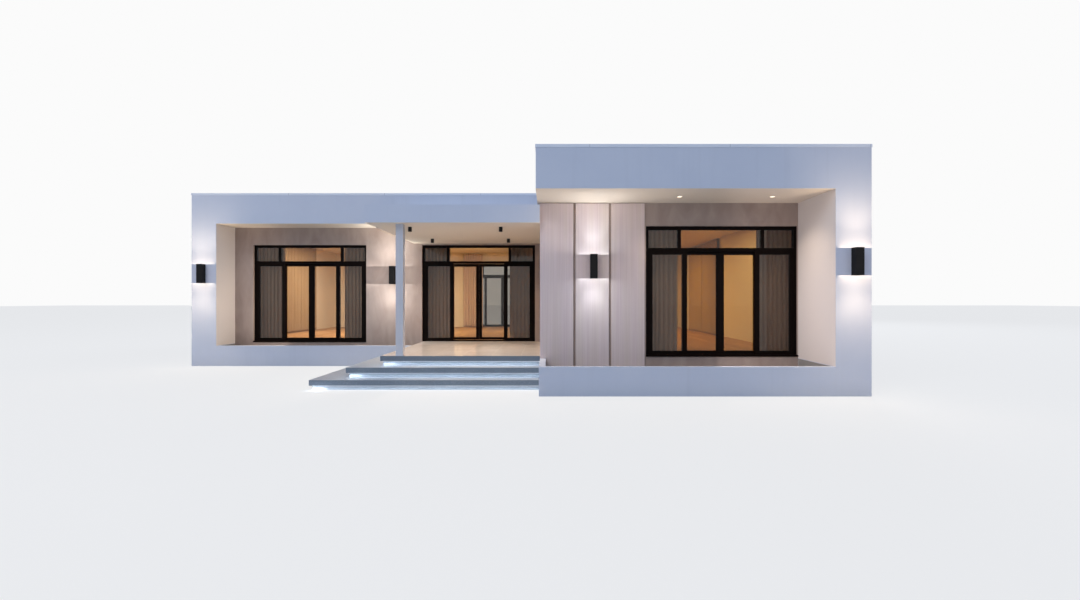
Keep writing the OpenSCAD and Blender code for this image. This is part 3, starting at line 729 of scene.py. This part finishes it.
def gathered_sheet(name, width, height, seed):
    """The cloth as it is hooked up: a grid at equal steps along its heading, with its UV in metres."""
    folds = round(width / fold_w)
    fine = steps_per_fold * folds
    points = [fold_point(i / fine, 0, folds, width, seed) for i in range(fine + 1)]
    run = [0.0]
    for a, b in zip(points, points[1:]):
        run.append(run[-1] + math.dist(a, b))
    columns = columns_per_fold * folds
    picks, k = [], 0
    for i in range(columns + 1):
        wanted = run[-1] * i / columns
        while k < fine - 1 and run[k + 1] < wanted:
            k += 1
        picks.append((k + (wanted - run[k]) / (run[k + 1] - run[k])) / fine)
    mesh = bpy.data.meshes.new(name)
    places = []
    for j in range(rows + 1):
        for across in picks:
            x, y = fold_point(across, j / rows, folds, width, seed)
            places.append((x, y, height * (1 - j / rows)))
    wide = columns + 1
    faces = [(j * wide + i, (j + 1) * wide + i, (j + 1) * wide + i + 1, j * wide + i + 1)
             for j in range(rows) for i in range(columns)]
    mesh.from_pydata(places, [], faces)
    uv = mesh.uv_layers.new(name="cloth")
    for loop in mesh.loops:
        j, i = divmod(loop.vertex_index, wide)
        uv.data[loop.index].uv = (run[-1] * i / columns, height * (1 - j / rows))
    return mesh, run[-1], wide


def hang(name, width, height, reach, seed):
    """Lets a gathered sheet settle under its own weight from its hooks, and gives it a thickness."""
    mesh, cut_width, wide = gathered_sheet(name, width, height, seed)
    piece = stand(name, mesh)
    hooks = piece.vertex_groups.new(name="hooks")
    hooks.add(list(range(hooked_rows * wide)), 1.0, "REPLACE")
    cloth = piece.modifiers.new("cloth", "CLOTH")
    cloth.settings.quality = 5
    cloth.settings.mass = 0.2
    cloth.settings.tension_stiffness = cloth.settings.compression_stiffness = 18
    cloth.settings.shear_stiffness = 6
    cloth.settings.bending_stiffness = 0.6
    cloth.settings.air_damping = 2
    cloth.settings.vertex_group_mass = "hooks"
    cloth.collision_settings.use_collision = False
    for step in range(1, settling_steps + 1):
        scene.frame_set(step)
    settled = baked(piece)
    piece.modifiers.clear()
    piece.data = settled
    scene.frame_set(1)
    for vert in piece.data.vertices:
        vert.co.x = max(-width / 2, min(width / 2, vert.co.x))
        vert.co.y = max(-reach, min(reach, vert.co.y))
        vert.co.z = max(0.0, vert.co.z)
    thick = piece.modifiers.new("thickness", "SOLIDIFY")
    thick.thickness = cloth_t
    thick.offset = 0.0
    shape = baked(piece)
    shape.shade_smooth()
    bpy.data.objects.remove(piece)
    return shape, cut_width


def woven(name, dark, light, thread, see_through):
    """Plain weave with a turned hem and slubs along the weft. Threads under 1 mm are drawn 5 mm wide."""
    material, tree, shader, _ = new_finish(name, {"Roughness": 0.85, "Sheen Weight": 0.35, "IOR": 1.45})
    flat = put(tree, "ShaderNodeUVMap", uv_map="cloth")
    warp, weft = (put(tree, "ShaderNodeTexWave", {
        "Vector": flat, "Scale": 1 / (thread * 2), "Distortion": 0.6}, bands_direction=way)
        for way in "XY")
    weave = put(tree, "ShaderNodeMath", {
        0: warp.outputs["Fac"], 1: weft.outputs["Fac"]}, operation="ADD")
    drawn = put(tree, "ShaderNodeMapping", {"Vector": flat, "Scale": (3, 60, 1)})
    slub = put(tree, "ShaderNodeTexNoise", {"Vector": drawn, "Scale": 1.0, "Detail": 4.0})
    tone = put(tree, "ShaderNodeMix", {"Factor": slub, "A": dark, "B": light}, data_type="RGBA")
    height = put(tree, "ShaderNodeSeparateXYZ", {"Vector": flat}).outputs["Y"]
    hem = put(tree, "ShaderNodeMath", {0: height, 1: hem_h}, operation="LESS_THAN")
    doubled = put(tree, "ShaderNodeMath", {0: hem, 1: hem_shade}, operation="MULTIPLY")
    hemmed = put(tree, "ShaderNodeMix", {"Factor": doubled, "A": tone, "B": dark}, data_type="RGBA")
    relief = put(tree, "ShaderNodeBump", {"Height": weave, "Strength": 0.25, "Distance": 0.0006})
    link(tree, shader, {"Base Color": hemmed, "Normal": relief})
    behind = put(tree, "ShaderNodeBsdfTranslucent", {"Color": hemmed, "Normal": relief})
    resurface(tree, put(tree, "ShaderNodeMixShader", {0: see_through, 1: shader, 2: behind}))
    return material


sateen = woven("taupe_lined_sateen", "#CDAE9C", "#E5C9B5", 0.005, 0.08)
linen = woven("sand_linen", "#B08D60", "#C4A97F", 0.005, 0.2)
shapes = {}
for node, boxes in curtain_boxes.items():
    at_side = node == "side_curtains"
    cloth_finish, cloth_slot = (linen, "warm_curtain") if at_side else (sateen, "curtain")
    for k, (low, high) in enumerate(boxes):
        size = high - low
        along_x = size.x > size.y
        width = max(size.x, size.y)
        reach = min(size.x, size.y) / 2 - cloth_t
        height = size.z - heading_drop
        kind = (round(width, 2), k % 2 if along_x else 0)
        if kind not in shapes:
            shapes[kind] = hang("hung_cloth", width, height, reach, first_seed + len(shapes))
        shape, cut_width = shapes[kind]
        mesh = shape.copy()
        turn = math.radians((0 if along_x else 90) + (180 if k // 2 % 2 else 0))
        middle = Vector(((low.x + high.x) / 2, (low.y + high.y) / 2, low.z))
        mesh.transform(Matrix.Translation(middle) @ Matrix.Rotation(turn, 4, "Z"))
        mesh.materials.clear()
        mesh.materials.append(cloth_finish)
        curtain = keep(stand(f"{node[:-1]}_{k + 1}", mesh), "house")
        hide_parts(node)

# Wall lights
# Folded aluminium boxes with a matt black powder coat, open above and below, screwed to the wall.
# An opal plate sits deep in each end and throws light up and down the wall.


def lenses(name, outlines, crown, thickness, square, material):
    """Crowned plates, one for each (centre, half sizes, direction up or down), with rounded edges. The
    corners of a square one come from the power of its sine and cosine."""
    bm = bmesh.new()
    rings = 5
    sides, power = (16, 0.25) if square else (32, 1.0)
    layers = [(1.0, 0.0)]
    for r in range(rings + 1):
        share = math.cos(math.pi / 2 * r / (rings + 1))
        layers.append((share, thickness + crown * math.sin(math.pi / 2 * r / rings)))
    for centre, half, way in outlines:
        loops = []
        for share, rise in layers:
            loop = []
            for s in range(sides):
                turn = 2 * math.pi * (s + 0.5) / sides
                dx, dy = (math.copysign(abs(c) ** power, c) for c in (math.cos(turn), math.sin(turn)))
                corner = Vector((dx * half[0] * share, dy * half[1] * share, way * rise))
                loop.append(bm.verts.new(centre + corner))
            loops.append(loop)
        for a, b in zip(loops, loops[1:]):
            for s in range(sides):
                t = (s + 1) % sides
                bm.faces.new((a[s], a[t], b[t], b[s]))
        bm.faces.new(loops[0])
        bm.faces.new(loops[-1])
    bmesh.ops.recalc_face_normals(bm, faces=bm.faces)
    mesh = bpy.data.meshes.new(name)
    bm.to_mesh(mesh)
    bm.free()
    mesh.materials.append(material)
    return keep(stand(name, mesh), "house")


black = powder_coat("matt_black_powder_coat", specular=0.12, cloud_size=0.15, dark="#131314",
                    pale="#202021", least_rough=0.45, peel_size=0.003, peel=0.2)
dress(black, "wall_lights", "porch_spotlights")
wall_cover = lit_cover("opal_plate_neutral", "#FFF3E2", 2.0)
lamp_wall = 0.008
lamp_recess = 0.045  # how deep a plate sits in the end of its box
plate_crown = 0.006
plate_t = 0.004
slack = 0.001
outlines, pools = [], []
for low, high in solid_boxes("wall_lights"):
    middle = (low + high) / 2
    half = ((high.x - low.x) / 2 - lamp_wall - slack, (high.y - low.y) / 2 - lamp_wall - slack)
    for end, way in ((high.z - lamp_recess, 1), (low.z + lamp_recess, -1)):
        outlines.append((Vector((middle.x, middle.y, end)), half, way))
        pools.append((Vector((middle.x, high.y, high.z if way > 0 else low.z)), way))
lenses("wall_light_plates", outlines, plate_crown, plate_t, True, wall_cover)

# Porch spotlights and soffit downlights
# Black cylinders fixed under the canopy, and white rimmed fittings let into the right soffit. Each
# has a pressed glass lens over its lamp, with a warm light.
warm_lens = lit_cover("pressed_glass_lens_warm", "#FFE6C4", 2.4)
bulbs = []
for node, name, rim, cup, crown, thickness in (
        ("porch_spotlights", "spotlight_lenses", 0.008, 0.015, 0.006, 0.003),
        ("soffit_downlights", "downlight_lenses", 0.011, 0.0035, 0.001, 0.001)):
    outlines = []
    for low, high in solid_boxes(node):
        foot = Vector(((low.x + high.x) / 2, (low.y + high.y) / 2, low.z))
        radius = (high.x - low.x) / 2 - rim - slack
        outlines.append((foot + Vector((0, 0, cup)), (radius, radius), -1))
        bulbs.append((foot, node))
    lenses(name, outlines, crown, thickness, False, warm_lens)
dress(white_finish, "soffit_downlights")

# Lamps
# They stand for the light of the fittings, for rooms lit from the ceiling and, where they are weak, for
# what walls and soffits send back. Each end of a wall light has a plane of light level with it, for
# the straight edge of its pool, and a cone that carries the light far up or down the wall.
tilt = 0.0001  # keeps the sides of a lamp that looks straight up or down in line with the walls
to_wall, to_soffit, to_floor = (0, 1, tilt), (0, tilt, 1), (0, tilt, -1)
strip_h = 0.3
between_off = 0.45


def lamp(name, kind, place, aim, power, glow, **settings):
    """A lamp that lights the scene and isn't seen itself."""
    light = bpy.data.lights.new(name, kind)
    light.energy = power
    light.color = linear(glow)[:3]
    for key, value in settings.items():
        setattr(light, key, value)
    held = stand(name, light)
    held.location = place
    held.rotation_euler = Vector(aim).to_track_quat("-Z", "Y").to_euler()
    held.visible_camera = held.visible_glossy = held.visible_transmission = False


def plane_lamp(name, place, aim, width, height, power, glow):
    """A lamp that shines from a rectangle."""
    lamp(name, "AREA", place, aim, power, glow, shape="RECTANGLE", size=width, size_y=height)


def cone_lamp(name, place, aim, degrees, power, glow, blend=1.0, soft=0.12):
    """A lamp that shines in a cone with a soft edge."""
    lamp(name, "SPOT", place, aim, power, glow, spot_size=math.radians(degrees), spot_blend=blend,
         shadow_soft_size=soft)


# For each wall light: its glow; how far aside its plane lies, its width, reach and power; how far off
# the wall its cone starts, how much it leans, its degrees and power. Then the light between its pools.
beams = (("#FFE8C8", (0, 0.60, 1.2, 6.1), (0.70, 0.55, 90, 29)),
         ("#F3F5F6", (-0.12, 1.30, 0.9, 7.9), (0.60, 0.50, 118, 47)),
         ("#E6F4FF", (0, 0.62, 0.65, 3.0), (0.45, 0.75, 66, 15.7)),
         ("#FFE5C4", (0, 0.60, 1.2, 7.4), (0.70, 0.55, 90, 35)))
between = (("#FFC8A0", 0.5, 0.32), ("#FFFAF4", 1.4, 2.8), ("#FFD5BC", 0.4, 0.26), ("#FFD0B4", 0.5, 0.34))
for k, (glow, width, power) in enumerate(between):
    middle = (pools[2 * k][0] + pools[2 * k + 1][0]) / 2 - Vector((0, between_off, 0))
    plane_lamp(f"scatter_{k}", middle, to_wall, width, strip_h, power, glow)
for k, (place, way) in enumerate(pools):
    glow, (aside, width, reach, power), (off, lean, degrees, cone_power) = beams[k // 2]
    middle = place + Vector((aside, -reach / 2, 0))
    plane_lamp(f"spread_{k}", middle, (0, tilt, way), width, reach, power, glow)
    cone_lamp(f"cone_{k}", place - Vector((0, off, 0)), (0, lean, way), degrees, cone_power, glow)
panel_top = pools[4][0]
panel_off, wash_off = Vector((0, 0.5, 0)), Vector((0, 0.9, 0.05))
cone_lamp("panel_soffit", panel_top - panel_off, to_soffit, degrees=96, power=19, glow="#F4F6FF")
plane_lamp("soffit_wash", panel_top - wash_off, to_soffit, width=2.6, height=strip_h, power=5.5,
           glow="#FFEFE2")
canopy_off, canopy_rise = 0.6, 0.3
canopy_low, canopy_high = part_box("canopy")
canopy_w = canopy_high.x - canopy_low.x
above_canopy = (canopy_low.x + canopy_w / 2, pools[0][0].y - canopy_off, canopy_high.z + canopy_rise)
plane_lamp("canopy_top_wash", above_canopy, to_wall, canopy_w, strip_h, power=1.9, glow="#D4E5FF")
bulb_drop = Vector((0, 0, 0.01))
bulb_angle = 120
bulb_powers = {"porch_spotlights": (128, 78), "soffit_downlights": (55, 55)}
porch_middle = (bulbs[0][0].y + bulbs[1][0].y) / 2
for k, (foot, node) in enumerate(bulbs):
    front_power, rear_power = bulb_powers[node]
    power = front_power if foot.y < porch_middle else rear_power
    cone_lamp(f"down_{k}", foot - bulb_drop, to_floor, bulb_angle, power, "#FFE9D3", blend=0.8, soft=0.03)
room_lamp_drop = 0.08
room_lamp_w = 2.2
pendant_place = (-0.8, 3.4, 2.9)
for name, (x, y), power, glow in (
        ("left_room", (-5.0, 2.0), 400, "#FFF4E6"), ("middle_room", (-1.2, 2.6), 155, "#FFF4C4"),
        ("right_room", (5.3, -2.0), 84, "#FFDA88"), ("right_rear_room", (4.9, 2.5), 172, "#FFCA58")):
    lamp(name, "AREA", (x, y, ceiling - room_lamp_drop), to_floor, power, glow, size=room_lamp_w)
lamp("middle_pendant", "POINT", pendant_place, to_floor, power=52, glow="#FFE8B0", shadow_soft_size=0.3)
# A wash over the end wall of each recess, from its open side, and the glow of the diodes on the risers.
wash_power = 20
wash_z = 1.6
wash_h = 2.0
wash_lean = -0.3
washes = {"left": (recesses[0][0].x, -1, 1.7, "#FFEDDC"), "right": (recesses[1][1].x, 1, 1.9, "#FFEDEC")}
for side, (end_x, way, reach, glow) in washes.items():
    planter_low, planter_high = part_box(side + "_planter")
    middle = (end_x - way * reach, (planter_low.y + planter_high.y) / 2, wash_z)
    depth = planter_high.y - planter_low.y
    plane_lamp(side + "_recess_wash", middle, (way, wash_lean, 0), depth, wash_h, wash_power, glow)
nosing = 0.03
riser_lean = -0.35
diode_strip_w = 0.02
strip_power = 2.4
first_length = 0.25  # each strip of diodes is brighter over its first stretch
first_power = 0.9
for k, (low, high) in enumerate(solid_boxes("step_lights")):
    if high.x - low.x > high.y - low.y:
        for length, power in ((high.x - low.x, strip_power), (first_length, first_power)):
            middle = (low.x + length / 2, low.y - nosing, low.z)
            plane_lamp(f"riser_{k}", middle, (0, riser_lean, -1), length, diode_strip_w, power, "#E4EEFF")

# Studio
# A plain pale floor, an even surround of soft light, and two large soft lamps, high to the left in
# front and high to the right behind. Rays that show the background see it white.
floor_half = 150.0
floor_z = -0.001
floor_shine = 0.75
target = Vector((0, 0, 1.5))
for name, place, power in (("key", Vector((-14, -26, 22)), 3000), ("rear", Vector((18, 26, 20)), 3400)):
    lamp(name, "AREA", place, target - place, power, "#F6F8FF", size=14.0)


def shown_ray(tree):
    """1 for rays that show the background: seen straight, mirrored or through glass."""
    ray = put(tree, "ShaderNodeLightPath").outputs
    mirrored = put(tree, "ShaderNodeMath", {
        0: ray["Is Camera Ray"], 1: ray["Is Glossy Ray"]}, operation="MAXIMUM")
    return put(tree, "ShaderNodeMath", {0: mirrored, 1: ray["Is Transmission Ray"]}, operation="MAXIMUM")


def soft_surround():
    """A cool even light for the house, behind a white that only the camera, mirrors and glass show."""
    studio = bpy.data.worlds.new("studio")
    studio.use_nodes = True
    tree = studio.node_tree
    tree.nodes.clear()
    even = put(tree, "ShaderNodeBackground", {"Color": "#BCD6FF", "Strength": 0.5})
    white = put(tree, "ShaderNodeBackground", {"Color": "#FBFBFB", "Strength": 1.0})
    both = put(tree, "ShaderNodeMixShader", {0: shown_ray(tree), 1: even, 2: white})
    put(tree, "ShaderNodeOutputWorld", {"Surface": both})
    return studio


def pale_floor():
    """Matt pale board, which shows as part of the white background."""
    material, tree, shader, _ = new_finish("pale_studio_floor", {
        "Base Color": "#DEDEDC", "Roughness": 0.9})
    white = put(tree, "ShaderNodeEmission", {"Color": "#FBFBFB", "Strength": 1.0})
    share = put(tree, "ShaderNodeMath", {0: shown_ray(tree), 1: floor_shine}, operation="MULTIPLY")
    resurface(tree, put(tree, "ShaderNodeMixShader", {0: share, 1: shader, 2: white}))
    return material


scene.world = soft_surround()
board = bpy.data.meshes.new("studio_floor")
corners = [(x * floor_half, y * floor_half, floor_z) for x, y in ((-1, -1), (1, -1), (1, 1), (-1, 1))]
board.from_pydata(corners, [], [(0, 1, 2, 3)])
board.materials.append(pale_floor())
stand("studio_floor", board)
